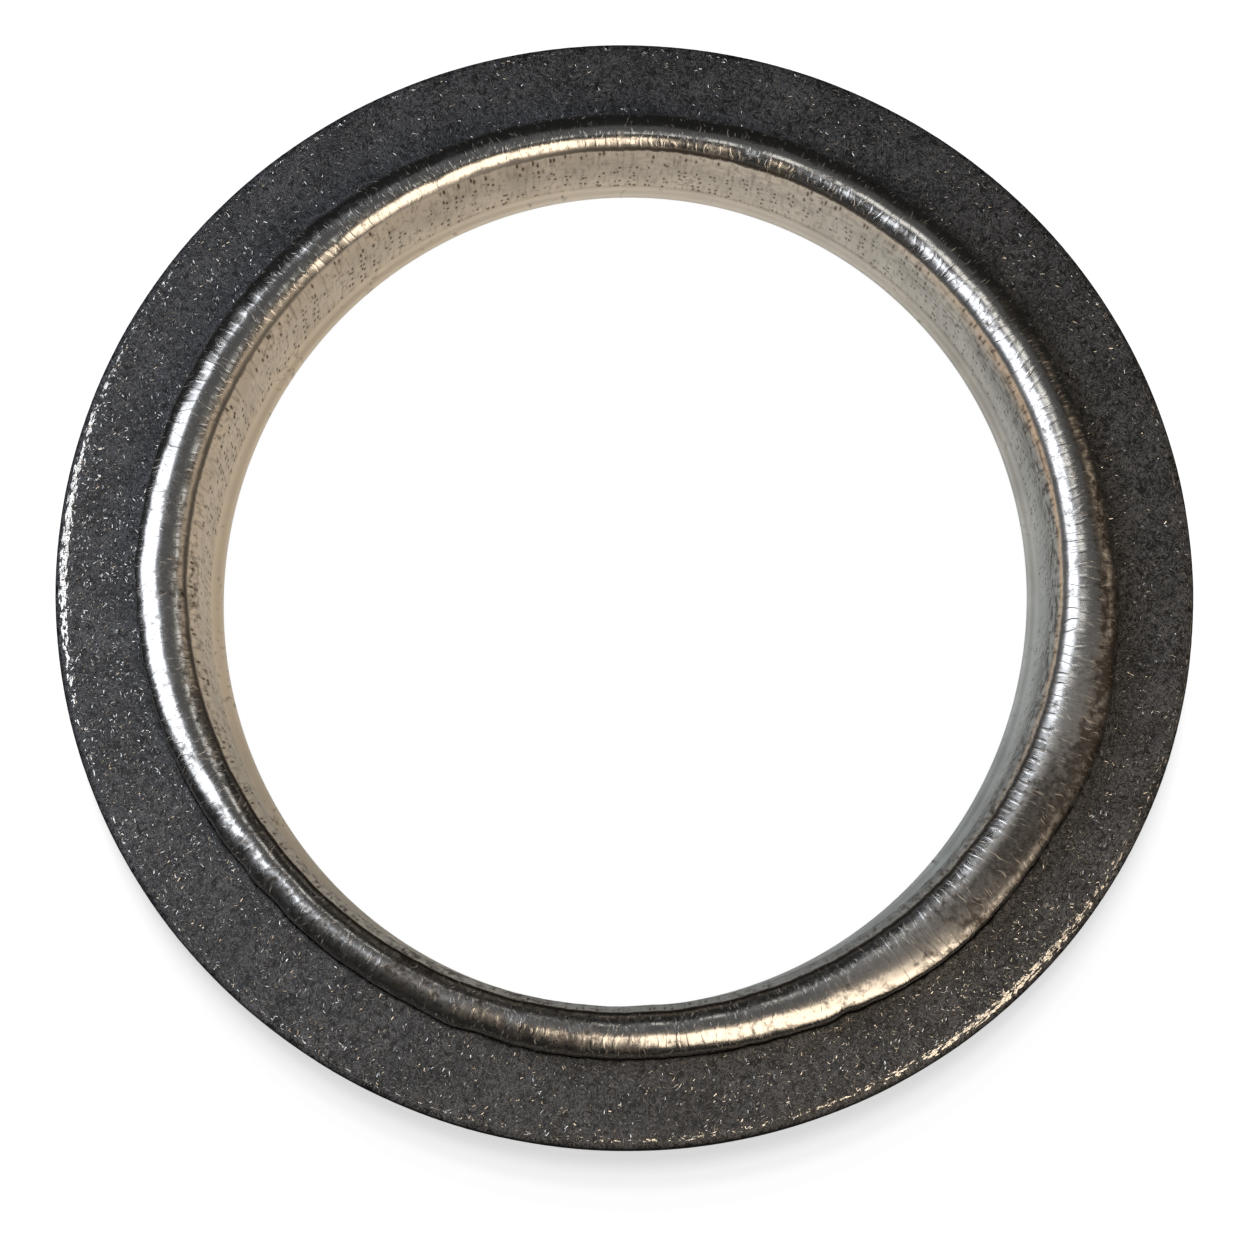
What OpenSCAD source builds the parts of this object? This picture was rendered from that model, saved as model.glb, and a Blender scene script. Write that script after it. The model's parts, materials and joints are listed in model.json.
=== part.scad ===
// Exhaust ring gasket: a pressed graphite and wire-mesh packing ring on a sheet-steel sleeve.
// The sleeve's upper end is rolled over the packing as a round bead, and its lower end is
// turned in as a lip. Millimetres, +Z up the bore, origin at the centre of the lower face.

/* [Packing ring] */
// Thickness of the packing ring between its two sealing faces
ring_t = 4; // [3:0.1:8]
// Radial width of the packing outside the bead
face_w = 4.4; // [3:0.1:8]
// Height of the straight outer land, from the upper face down
land_h = 1.6; // [0.8:0.1:2.4]
// Radial width of the bevel between the outer land and the lower face
bevel_w = 1.8; // [0.5:0.1:2.5]
// Radius on the packing's upper outer edge
edge_r = 0.3; // [0.1:0.05:0.6]
// Radius on the packing's edge beside the bead
crease_r = 0.15; // [0.05:0.05:0.4]

/* [Sleeve] */
// Inside diameter of the sleeve's straight wall
bore_d = 45.5; // [38:0.5:60]
// Thickness of the sleeve's sheet
sheet_t = 0.4; // [0.2:0.05:0.6]
// Radius of the bead's round on the bore side, over the sheet
bead_in_r = 1.85; // [1.2:0.05:2.5]
// Radius of the bead's round on the packing side, over the sheet
bead_out_r = 1.25; // [0.9:0.05:2]
// Height of the bead's crest above the packing's upper face
bead_h = 2; // [1.2:0.1:3]
// Depth that the rolled edge bites into the packing's upper face
tuck_h = 0.3; // [0.1:0.05:0.6]
// Radial width of the turned-in lip
lip_w = 0.55; // [0.5:0.05:1.5]
// Inner radius of the bend between the wall and the lip
lip_bend_r = 0.2; // [0.1:0.05:0.25]

/* [Fit] */
// Gap between the sleeve's sheet and the packing that is pressed round it
fit_gap = 0.05; // [0.02:0.01:0.1]

/* [Hidden] */
$fn = 96;

// How far a cutting shape runs past the face that it opens
cut_over = 1;

bore_r = bore_d / 2;
lip_r = bore_r - lip_w;
bend_mid_z = sheet_t + lip_bend_r;
crest_r = bore_r + bead_in_r;
crest_z = ring_t + bead_h;
bead_in_z = crest_z - bead_in_r;
bead_out_z = crest_z - bead_out_r;
bead_outer_r = crest_r + bead_out_r;
tuck_z = ring_t - tuck_h;

packing_inner_r = bore_r + sheet_t + fit_gap;
packing_outer_r = bead_outer_r + face_w;
groove_inner_r = bead_outer_r - sheet_t - fit_gap;
groove_outer_r = bead_outer_r + fit_gap;
groove_z = tuck_z - fit_gap;

// Upper half of a disc, its flat side on the X axis
module half_disc(r) {
    intersection() {
        circle(r);
        translate([-r, 0]) square([2 * r, r]);
    }
}

// Quarter of a disc, to the right of and above its centre
module quarter_disc(r) {
    intersection() {
        circle(r);
        square(r);
    }
}

// What a radius of r takes off a square corner, whose round is centred on the origin
module corner_waste(r) {
    difference() {
        square(r + cut_over);
        circle(r);
    }
}

// Two quarter rounds that share the bead's crest, both set in from the bead's outside
module bead_dome(inset) {
    translate([crest_r, bead_in_z])
        mirror([1, 0]) quarter_disc(bead_in_r - inset);
    translate([crest_r, bead_out_z])
        quarter_disc(bead_out_r - inset);
}

// Section of the packing before its edges are worked, with the crown that fills the bead
module packing_blank() {
    translate([packing_inner_r, 0])
        square([packing_outer_r - packing_inner_r, ring_t]);
    translate([packing_inner_r, 0])
        square([crest_r - packing_inner_r, bead_in_z]);
    translate([crest_r, 0])
        square([groove_inner_r - crest_r, bead_out_z]);
    bead_dome(sheet_t + fit_gap);
}

// Slot that the bead's rolled edge bites into, with a rounded outer shoulder
module tuck_groove() {
    translate([groove_inner_r, groove_z])
        square([groove_outer_r - groove_inner_r, ring_t - groove_z + cut_over]);
    translate([groove_outer_r + crease_r, ring_t - crease_r])
        mirror([1, 0]) corner_waste(crease_r);
}

// Wedge under the outer land, which leaves the bevelled seat
module bevel_waste() {
    polygon([
        [packing_outer_r, ring_t - land_h],
        [packing_outer_r - bevel_w, 0],
        [packing_outer_r - bevel_w, -cut_over],
        [packing_outer_r + cut_over, -cut_over],
        [packing_outer_r + cut_over, ring_t - land_h],
    ]);
}

module packing_section() {
    difference() {
        packing_blank();
        tuck_groove();
        bevel_waste();
        translate([packing_outer_r - edge_r, ring_t - edge_r])
            corner_waste(edge_r);
    }
}

// Rolled end of the sheet: an arch of two rounds whose outer leg bites into the packing
module bead_section() {
    difference() {
        bead_dome(0);
        bead_dome(sheet_t);
    }
    translate([bead_outer_r - sheet_t, tuck_z])
        square([sheet_t, bead_out_z - tuck_z]);
}

// Turned-in end of the sheet: a quarter bend and a short flat with a rounded edge
module lip_section() {
    bend_mid_r = bore_r - lip_bend_r;
    tip_mid_r = lip_r + sheet_t / 2;
    translate([bend_mid_r, bend_mid_z])
        intersection() {
            difference() {
                circle(bend_mid_z);
                circle(lip_bend_r);
            }
            translate([0, -bend_mid_z]) square(bend_mid_z);
        }
    translate([tip_mid_r, 0])
        square([bend_mid_r - tip_mid_r, sheet_t]);
    translate([tip_mid_r, sheet_t / 2])
        rotate(90) half_disc(sheet_t / 2);
}

module sleeve_section() {
    bead_section();
    translate([bore_r, bend_mid_z])
        square([sheet_t, bead_in_z - bend_mid_z]);
    lip_section();
}

// Graphite pressed with knitted steel wire
module packing_ring() {
    color("#3b3c40")
        rotate_extrude() packing_section();
}

// Stainless sheet sleeve that lines the bore
module inner_sleeve() {
    color("#b9b1a4")
        rotate_extrude() sleeve_section();
}

packing_ring();
inner_sleeve();
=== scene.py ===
"""Exhaust ring gasket: surfaces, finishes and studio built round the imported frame.

A dark packing ring of graphite and knitted wire sits on a stainless sleeve, whose upper end is
rolled over the packing as a bead and whose lower end is turned in as a lip. Sections are worked
out in millimetres and go into the meshes in metres. Angles round the ring are counted clockwise
from the right, as one looks down on it, which is the way the marks on it were read.
"""

import json
import logging
import math
from dataclasses import dataclass, field
from enum import Enum
from typing import Any

import bpy
import numpy as np
from mathutils import Matrix, Vector


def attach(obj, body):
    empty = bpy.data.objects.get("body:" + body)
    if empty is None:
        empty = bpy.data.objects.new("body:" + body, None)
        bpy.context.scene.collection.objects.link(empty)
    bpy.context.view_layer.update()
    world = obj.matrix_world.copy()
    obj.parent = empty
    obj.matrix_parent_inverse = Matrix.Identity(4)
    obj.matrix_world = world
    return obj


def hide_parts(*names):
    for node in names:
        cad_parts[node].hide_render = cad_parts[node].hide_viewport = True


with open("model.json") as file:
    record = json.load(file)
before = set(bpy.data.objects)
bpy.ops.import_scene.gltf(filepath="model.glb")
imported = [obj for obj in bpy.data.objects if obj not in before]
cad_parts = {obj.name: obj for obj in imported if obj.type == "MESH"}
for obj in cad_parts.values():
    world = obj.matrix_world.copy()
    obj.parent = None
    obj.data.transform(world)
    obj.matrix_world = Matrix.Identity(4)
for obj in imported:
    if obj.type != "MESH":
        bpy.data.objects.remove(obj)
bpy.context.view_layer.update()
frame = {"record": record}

LOG = logging.getLogger("ring_gasket")
MM = 0.001
PICTURE_PX = 1254
AROUND = 1024
SEAM_DEG = 131.0


class Zone(Enum):
    """Parts of a section, in the order in which its outline passes them."""

    SEAT = "seat"
    LAND = "land"
    FACE = "face"
    BEAD = "bead"
    WALL = "wall"
    LIP = "lip"
    HIDDEN = "hidden"


def linear(hex_colour: str) -> tuple[float, float, float, float]:
    """Turn an sRGB hex colour into a linear RGBA colour.

    Args:
        hex_colour: six hex digits after a hash sign.

    Returns:
        The linear red, green and blue, and an alpha of 1.
    """
    parts = [int(hex_colour[i:i + 2], 16) / 255 for i in (1, 3, 5)]
    red, green, blue = (c / 12.92 if c <= 0.04045 else ((c + 0.055) / 1.055) ** 2.4 for c in parts)
    return red, green, blue, 1.0


def feed(tree: bpy.types.NodeTree, node: bpy.types.Node, inputs: dict[Any, Any]) -> None:
    """Set a node's inputs, by name or number, to values or link them to sockets."""
    for key, value in inputs.items():
        if isinstance(value, bpy.types.NodeSocket):
            tree.links.new(value, node.inputs[key])
        else:
            node.inputs[key].default_value = value


def add(tree: bpy.types.NodeTree, kind: str, *values: Any, out: int | str = 0,
        **settings: Any) -> bpy.types.NodeSocket:
    """Add one node, with its settings, and feed its inputs.

    Args:
        tree: the node tree.
        kind: the node's type without its prefix, such as Math.
        values: the inputs in order, or one dictionary of inputs by name or number.
        out: the output to give back, by name or number.
        settings: attributes of the node.

    Returns:
        The output.
    """
    node = tree.nodes.new("ShaderNode" + kind)
    for key, value in settings.items():
        setattr(node, key, value)
    by_key = bool(values) and isinstance(values[0], dict)
    feed(tree, node, values[0] if by_key else dict(enumerate(values)))
    return node.outputs[out]


def new_material(name: str) -> tuple[bpy.types.Material, bpy.types.NodeTree, bpy.types.Node]:
    """Start a material and give it with its node tree and its shader."""
    made = bpy.data.materials.new(name)
    made.use_nodes = True
    return made, made.node_tree, made.node_tree.nodes["Principled BSDF"]


def new_piece(name: str, points: np.ndarray, faces: list[list[int]]) -> bpy.types.Object:
    """Make an object at the origin from points in metres and faces, and link it to the scene."""
    mesh = bpy.data.meshes.new(name)
    mesh.from_pydata(points.tolist(), [], faces)
    piece = bpy.data.objects.new(name, mesh)
    bpy.context.scene.collection.objects.link(piece)
    return piece


def direction(azimuth_deg: float, elevation_deg: float) -> Vector:
    """Give the unit vector at an azimuth, anticlockwise from the right, and a height angle."""
    azimuth, rise = math.radians(azimuth_deg), math.radians(elevation_deg)
    return Vector((math.cos(azimuth) * math.cos(rise), math.sin(azimuth) * math.cos(rise),
                   math.sin(rise)))


def streaks(tree: bpy.types.NodeTree, uv: bpy.types.NodeSocket, size_mm: tuple[float, float],
            detail: float, distortion: float = 0.0) -> bpy.types.NodeSocket:
    """Draw a noise with its own size along each pattern axis, about 0.5 on average.

    Args:
        tree: the node tree.
        uv: pattern coordinates in mm.
        size_mm: size of the noise along the two axes.
        detail: finer layers of the noise.
        distortion: how far it is distorted.

    Returns:
        The noise.
    """
    scale = (1.0 / size_mm[0], 1.0 / size_mm[1], 1.0)
    drawn = add(tree, "VectorMath", uv, scale, operation="MULTIPLY")
    return add(tree, "TexNoise", {"Vector": drawn, "Scale": 1.0, "Detail": detail,
                                  "Distortion": distortion}, noise_dimensions="2D")


def smooth_step(value: np.ndarray, low: float, high: float) -> np.ndarray:
    """Rise from 0 at low to 1 at high along the curve 3t^2 - 2t^3."""
    t = np.clip((value - low) / (high - low), 0.0, 1.0)
    return t * t * (3.0 - 2.0 * t)


def columns(extra: int = 0) -> np.ndarray:
    """Give the columns' angles in radians, from the seam of the patterns once round.

    Args:
        extra: 1 to repeat the first column at the end, 0 otherwise.

    Returns:
        The angles.
    """
    steps = np.arange(AROUND + extra) / AROUND
    return math.radians(SEAM_DEG) + 2.0 * math.pi * steps


def angle_gap(angle: np.ndarray, centre_deg: np.ndarray | float) -> np.ndarray:
    """Give the signed gap in degrees between angles in radians and a centre in degrees."""
    return (np.degrees(angle) - centre_deg + 180.0) % 360.0 - 180.0


@dataclass
class Ripple:
    """A random relief that closes on itself round the ring: a sum of cosine waves.

    Attributes:
        seed: seed of the random draws.
        height: root mean square height in mm.
        turns: lowest and highest number of waves round the ring.
        across: shortest wavelength across the section, in mm.
        waves: number of waves summed.
    """

    seed: int
    height: float
    turns: tuple[int, int]
    across: float
    waves: int = 40

    def __call__(self, angle: np.ndarray, run: np.ndarray) -> np.ndarray:
        """Sum cos(n * angle + k * run + p) over drawn n, k and p.

        Args:
            angle: angles round the ring in radians.
            run: distance along the section in mm, of a shape that broadcasts with angle.

        Returns:
            The relief in mm.
        """
        rng = np.random.default_rng(self.seed)
        total = np.zeros(np.broadcast(angle, run).shape)
        for _ in range(self.waves):
            turns = rng.integers(self.turns[0], self.turns[1] + 1)
            pull = rng.uniform(-1.0, 1.0) * 2.0 * math.pi / self.across
            total += np.cos(turns * angle + pull * run + rng.uniform(0.0, 2.0 * math.pi))
        return self.height * total * math.sqrt(2.0 / self.waves)


@dataclass
class Outline:
    """A closed section in the plane of radius and height, walked anticlockwise.

    Attributes:
        points: radius and height of each point in mm.
        zones: the zone of each point.
    """

    points: list[np.ndarray] = field(default_factory=list)
    zones: list[Zone] = field(default_factory=list)

    def line(self, start: tuple[float, float], end: tuple[float, float], count: int,
             zone: Zone) -> None:
        """Add count points evenly from start up to, but without, end."""
        t = np.linspace(0.0, 1.0, count, endpoint=False)[:, None]
        self.points.append(np.array(start) + t * (np.array(end) - np.array(start)))
        self.zones += [zone] * count

    def arc(self, centre: tuple[float, float], radius: float, from_deg: float, to_deg: float,
            count: int, zone: Zone) -> None:
        """Add count points evenly along an arc, without its end."""
        t = np.radians(np.linspace(from_deg, to_deg, count, endpoint=False))
        self.points.append(np.array(centre) + radius * np.stack([np.cos(t), np.sin(t)], 1))
        self.zones += [zone] * count

    def arrays(self) -> tuple[np.ndarray, np.ndarray, np.ndarray]:
        """Give the radii, the heights and the run along the outline, each in mm."""
        points = np.concatenate(self.points)
        steps = np.hypot(*(np.roll(points, -1, 0) - points).T)
        return points[:, 0], points[:, 1], np.concatenate([[0.0], np.cumsum(steps)])


def ring_mesh(name: str, radius: np.ndarray, height: np.ndarray, angle: np.ndarray,
              maps: dict[str, np.ndarray], marks: dict[str, np.ndarray]) -> bpy.types.Object:
    """Turn a grid of section points round the ring into a closed, smooth mesh.

    The point at row i and column j is (r cos a, -r sin a, z): the angle runs clockwise. Each
    cell of the grid is one quad, and both directions close on themselves.

    Args:
        name: the piece's name.
        radius: radii in mm, rows along the section and columns round the ring.
        height: heights in mm, on the same grid.
        angle: the columns' angles in radians.
        maps: pattern coordinates in mm by name, of the grid with its first row and column repeated.
        marks: a number for each grid point, by name, for the finish to read.

    Returns:
        The new object, at the origin.
    """
    rows, columns = radius.shape
    points = np.stack([radius * np.cos(angle), -radius * np.sin(angle), height], 2) * MM
    i, j = np.meshgrid(np.arange(rows), np.arange(columns), indexing="ij")
    below, beside = (i + 1) % rows, (j + 1) % columns
    corners = ((i, j), (below, j), (below, beside), (i, beside))
    quads = np.stack([a * columns + b for a, b in corners], 2).reshape(-1, 4)
    steps = ((i, j), (i + 1, j), (i + 1, j + 1), (i, j + 1))
    piece = new_piece(name, points.reshape(-1, 3), quads.tolist())
    mesh = piece.data
    for key, uv in maps.items():
        corner_uv = np.stack([uv[a, b] for a, b in steps], 2).reshape(-1)
        mesh.uv_layers.new(name=key).data.foreach_set("uv", corner_uv.astype(np.float32))
    for key, mark in marks.items():
        values = np.broadcast_to(mark, radius.shape).astype(np.float32).reshape(-1)
        mesh.attributes.new(key, "FLOAT", "POINT").data.foreach_set("value", values)
    mesh.shade_smooth()
    return piece


@dataclass(frozen=True)
class Kink:
    """A bump or dip that follows a bell curve round the ring.

    Attributes:
        at_deg: its middle, clockwise from the right.
        width_deg: half width, where it is down to 1/e.
        reach: how far it stands out, or in if negative, in the unit of what it changes.
    """

    at_deg: float
    width_deg: float
    reach: float

    def __call__(self, angle: np.ndarray) -> np.ndarray:
        """Give reach * exp(-(gap / width)^2) at each angle."""
        return self.reach * np.exp(-((angle_gap(angle, self.at_deg) / self.width_deg) ** 2))


@dataclass(frozen=True)
class AllRound:
    """Something that changes round the ring: a base with bell curves on it.

    Attributes:
        base: its value where no kink reaches.
        kinks: the bell curves.
    """

    base: float
    kinks: tuple[Kink, ...]

    def __call__(self, angle: np.ndarray) -> np.ndarray:
        """Add up the base and the kinks at each angle in radians."""
        return self.base + sum(k(angle) for k in self.kinks)


@dataclass
class RingSizes:
    """Sizes that the packing and the sleeve share, in mm.

    Attributes:
        sheet: thickness of the sleeve's sheet.
        bead_in: radius of the bead's round on the bore side.
        bead_out: width of the bead from its crest to the packing.
        bead_height: height of the bead's crest above the packing's face.
        tuck: depth that the rolled edge bites into the packing.
        lip_width: radial width of the turned-in lip.
        bevel_width: radial width of the packing's bevel.
        edge: radius on the packing's upper outer edge.
        crease: radius on the packing's edge beside the bead.
        fit_gap: gap between the sheet and the packing.
    """

    sheet: float = 0.4
    bead_in: float = 1.85
    bead_out: float = 1.25
    bead_height: float = 2.0
    tuck: float = 0.3
    lip_width: float = 0.55
    bevel_width: float = 1.8
    edge: float = 0.3
    crease: float = 0.15
    fit_gap: float = 0.05

    def __post_init__(self) -> None:
        """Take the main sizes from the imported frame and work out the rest."""
        mounts = {m["name"]: m for m in frame["record"]["mounts"]}
        self.bore = float(mounts["pipe_bore"]["dims"]["r_mm"])
        self.outer = float(mounts["outer_land"]["dims"]["r_mm"])
        self.face_z = mounts["upper_face"]["pos_m"][2] / MM
        land_z = mounts["outer_land"]["pos_m"][2] / MM
        self.land_low = land_z - mounts["outer_land"]["dims"]["length_mm"] / 2.0
        self.crest = self.bore + self.bead_in
        self.crest_z = self.face_z + self.bead_height
        self.bead_in_z = self.crest_z - self.bead_in
        self.bead_out_z = self.crest_z - self.bead_out
        self.bead_outer = self.crest + self.bead_out
        self.lip = self.bore - self.lip_width


@dataclass
class RolledEdge:
    """How the rolled bead wanders: the packing and the sleeve follow it together.

    Attributes:
        reach: uneven reach of the rolled edge round the ring in mm, large swells first.
        tremble: a fine unevenness on top.
    """

    reach: AllRound = AllRound(-0.06, (
        Kink(22.0, 17.0, 0.67), Kink(50.0, 13.0, 0.53), Kink(88.0, 16.0, -0.20),
        Kink(118.0, 16.0, -0.38), Kink(142.0, 18.0, -0.42), Kink(262.0, 62.0, -0.22),
        Kink(180.0, 5.0, 0.09), Kink(64.0, 1.0, -0.10), Kink(66.5, 1.6, 0.10),
        Kink(107.0, 2.6, -0.10), Kink(111.0, 2.0, 0.08), Kink(136.0, 1.3, -0.10),
        Kink(141.5, 1.2, -0.08), Kink(2.0, 3.0, 0.09), Kink(33.0, 2.5, -0.07),
        Kink(228.0, 4.0, 0.05), Kink(301.0, 3.0, -0.05),
    ))
    tremble: Ripple = field(default_factory=lambda: Ripple(11, 0.012, (20, 150), 50.0))

    def shift(self, radius: np.ndarray, height: np.ndarray, angle: np.ndarray,
              sizes: RingSizes) -> np.ndarray:
        """Spread the reach over the section.

        The full reach holds at the rolled edge. It fades to nothing towards the bore, across the
        packing's face and below the face.

        Args:
            radius: radii in mm.
            height: heights in mm.
            angle: angles in radians.
            sizes: the ring's sizes.

        Returns:
            The change of radius in mm.
        """
        inward = smooth_step(radius, sizes.bore + 0.15, sizes.bead_outer - 0.5)
        outward = 1.0 - smooth_step(radius, sizes.bead_outer + 0.2, sizes.bead_outer + 2.9)
        depth = smooth_step(height, sizes.face_z - 1.4, sizes.face_z - 0.4)
        wander = self.reach(angle) + self.tremble(angle, np.zeros(1))
        return wander * inward * outward * depth


@dataclass(frozen=True)
class PressedGraphite:
    """Graphite pressed into knitted steel wire.

    To the eye it is a dull near-black felt: short fibres lie in it every way, dark pores sit
    between them, and where the press rubbed its outer edge it is burnished to bright patches.
    The pores' dark colour is also painted as shade on the outer edge, the land and the bevel.
    """

    dark: str = "#0c0d0e"
    light: str = "#5e5f62"
    pore_and_shade: str = "#0d0d0e"
    wire: str = "#8a8987"
    burnished: str = "#dedad2"
    roughness: float = 0.52
    fibre_mm: tuple[float, float] = (0.075, 0.30)
    tuft_mm: float = 0.42
    cloud_mm: float = 1.6
    strand_mm: float = 0.05
    patch_mm: tuple[float, float] = (0.44, 0.12)
    pore_mm: float = 0.34

    def felt(self, tree: bpy.types.NodeTree, uv: bpy.types.NodeSocket,
             offset: float) -> bpy.types.NodeSocket:
        """Draw tufts of short fibres: a stretched noise that each tuft turns its own way.

        Args:
            tree: the material's node tree.
            uv: pattern coordinates in mm.
            offset: shift of the pattern in mm.

        Returns:
            A socket with the noise, about 0.5 on average.
        """
        moved = add(tree, "VectorMath", uv, (offset, offset * 0.7, 0.0))
        tufts = add(tree, "TexVoronoi", {"Vector": moved, "Scale": 1.0 / self.tuft_mm},
                    voronoi_dimensions="2D").node.outputs
        draw = add(tree, "SeparateColor", tufts["Color"]).node.outputs
        turn = add(tree, "Math", draw[0], 2.0 * math.pi, operation="MULTIPLY")
        turned = add(tree, "VectorRotate", {"Vector": moved, "Angle": turn}, rotation_type="Z_AXIS")
        return streaks(tree, turned, self.fibre_mm, 2.0, 0.4)

    def strands(self, tree: bpy.types.NodeTree, uv: bpy.types.NodeSocket, cell: float,
                offset: float, share: float) -> bpy.types.NodeSocket:
        """Draw one short bent strand in each cell of a random mosaic.

        A strand is where the point's place in its cell, turned by the cell's own random angle,
        lies within half a strand of the curve y = bend * x^2.

        Args:
            tree: the material's node tree.
            uv: pattern coordinates in mm.
            cell: mean size of a cell in mm.
            offset: shift of the mosaic in mm.
            share: share of the cells that have a strand.

        Returns:
            A socket with the strand's strength, from 0 to 1.
        """
        moved = add(tree, "VectorMath", uv, (offset, offset * 0.7, 0.0))
        mosaic = add(tree, "TexVoronoi", {"Vector": moved, "Scale": 1.0 / cell},
                     voronoi_dimensions="2D").node.outputs
        draw = add(tree, "SeparateColor", mosaic["Color"]).node.outputs
        place = add(tree, "VectorMath", moved, mosaic["Position"], operation="SUBTRACT")
        turn = add(tree, "Math", draw[0], 2.0 * math.pi, operation="MULTIPLY")
        turned = add(tree, "VectorRotate", {"Vector": place, "Angle": turn}, rotation_type="Z_AXIS")
        local = add(tree, "SeparateXYZ", turned).node.outputs
        along = add(tree, "Math", local[0], operation="ABSOLUTE")
        squared = add(tree, "Math", along, along, operation="MULTIPLY")
        bend = add(tree, "MapRange", {0: draw[1], 3: -1.6 / cell, 4: 1.6 / cell})
        curve = add(tree, "Math", squared, bend, local[1], operation="MULTIPLY_ADD")
        aside = add(tree, "Math", curve, operation="ABSOLUTE")
        thin = add(tree, "MapRange", aside, 0.3 * self.strand_mm, 0.75 * self.strand_mm, 1.0, 0.0,
                   interpolation_type="SMOOTHSTEP")
        short = add(tree, "MapRange", along, 0.3 * cell, 0.46 * cell, 1.0, 0.0,
                    interpolation_type="SMOOTHSTEP")
        shown = add(tree, "MapRange", draw[2], 1.0 - share, 1.0)
        both = add(tree, "Math", thin, short, operation="MULTIPLY")
        return add(tree, "Math", both, shown, operation="MULTIPLY")

    def material(self) -> bpy.types.Material:
        """Build the material.

        It reads the map pattern_mm, which lies flat on the face, the map edge_mm, whose first
        axis runs along the outer edge, the mark wear, and the mark for the painted shade on the
        outer edge, the land and the bevel.

        Returns:
            The material.
        """
        made, tree, shader = new_material("graphite_and_wire_pressed")
        uv = add(tree, "UVMap", uv_map="pattern_mm")
        along = add(tree, "UVMap", uv_map="edge_mm")
        wear = add(tree, "Attribute", out="Fac", attribute_name="wear")
        place = add(tree, "TexCoord", out="Object")
        cloud = add(tree, "TexNoise",
                    {"Vector": place, "Scale": 1.0 / (self.cloud_mm * MM), "Detail": 3.0})
        first, second = self.felt(tree, uv, 3.1), self.felt(tree, uv, 57.9)
        felt = add(tree, "Math", first, second, operation="MAXIMUM")
        tone = add(tree, "Math", cloud, 0.3, felt, operation="MULTIPLY_ADD")
        level = add(tree, "MapRange", tone, 0.6, 0.88)
        colour = add(tree, "Mix", {0: level, 6: linear(self.dark), 7: linear(self.light)}, out=2,
                     data_type="RGBA")
        pores = add(tree, "TexNoise",
                    {"Vector": uv, "Scale": 1.0 / self.pore_mm, "Detail": 2.0, "Distortion": 0.8},
                    noise_dimensions="2D")
        pitted = add(tree, "MapRange", pores, 0.45, 0.33)
        wool = self.strands(tree, uv, 0.36, 0.0, 0.40)
        for cell, offset, share in ((0.27, 13.7, 0.35), (0.50, 41.3, 0.4)):
            layer = self.strands(tree, uv, cell, offset, share)
            wool = add(tree, "Math", wool, layer, operation="MAXIMUM")
        veil = add(tree, "Math", wool, 0.45, operation="MULTIPLY")
        smear = streaks(tree, along, self.patch_mm, 1.5)
        smear = add(tree, "Math", wear, 0.62, smear, operation="MULTIPLY_ADD")
        bright = add(tree, "MapRange", smear, 0.93, 0.97)
        # Painted shade: the outer edge, the land and the bevel are darkened towards the pores' colour.
        painted_edge_shade = add(tree, "Attribute", out="Fac", attribute_name="painted_edge_shade")
        for name, share in ((self.pore_and_shade, pitted), (self.wire, veil), (self.pore_and_shade, painted_edge_shade),
                            (self.burnished, bright)):
            colour = add(tree, "Mix", {0: share, 6: colour, 7: linear(name)}, out=2,
                         data_type="RGBA")
        metal = add(tree, "Math", veil, bright, operation="MAXIMUM")
        rough = add(tree, "MapRange", {0: bright, 3: self.roughness, 4: 0.33})
        relief = add(tree, "Math", felt, 0.05, operation="MULTIPLY")
        relief = add(tree, "Math", wool, 0.012, relief, operation="MULTIPLY_ADD")
        bump = add(tree, "Bump", {"Height": relief, "Strength": 0.8, "Distance": MM})
        feed(tree, shader, {"Base Color": colour, "Metallic": metal, "Roughness": rough,
                            "Normal": bump})
        return made


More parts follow.
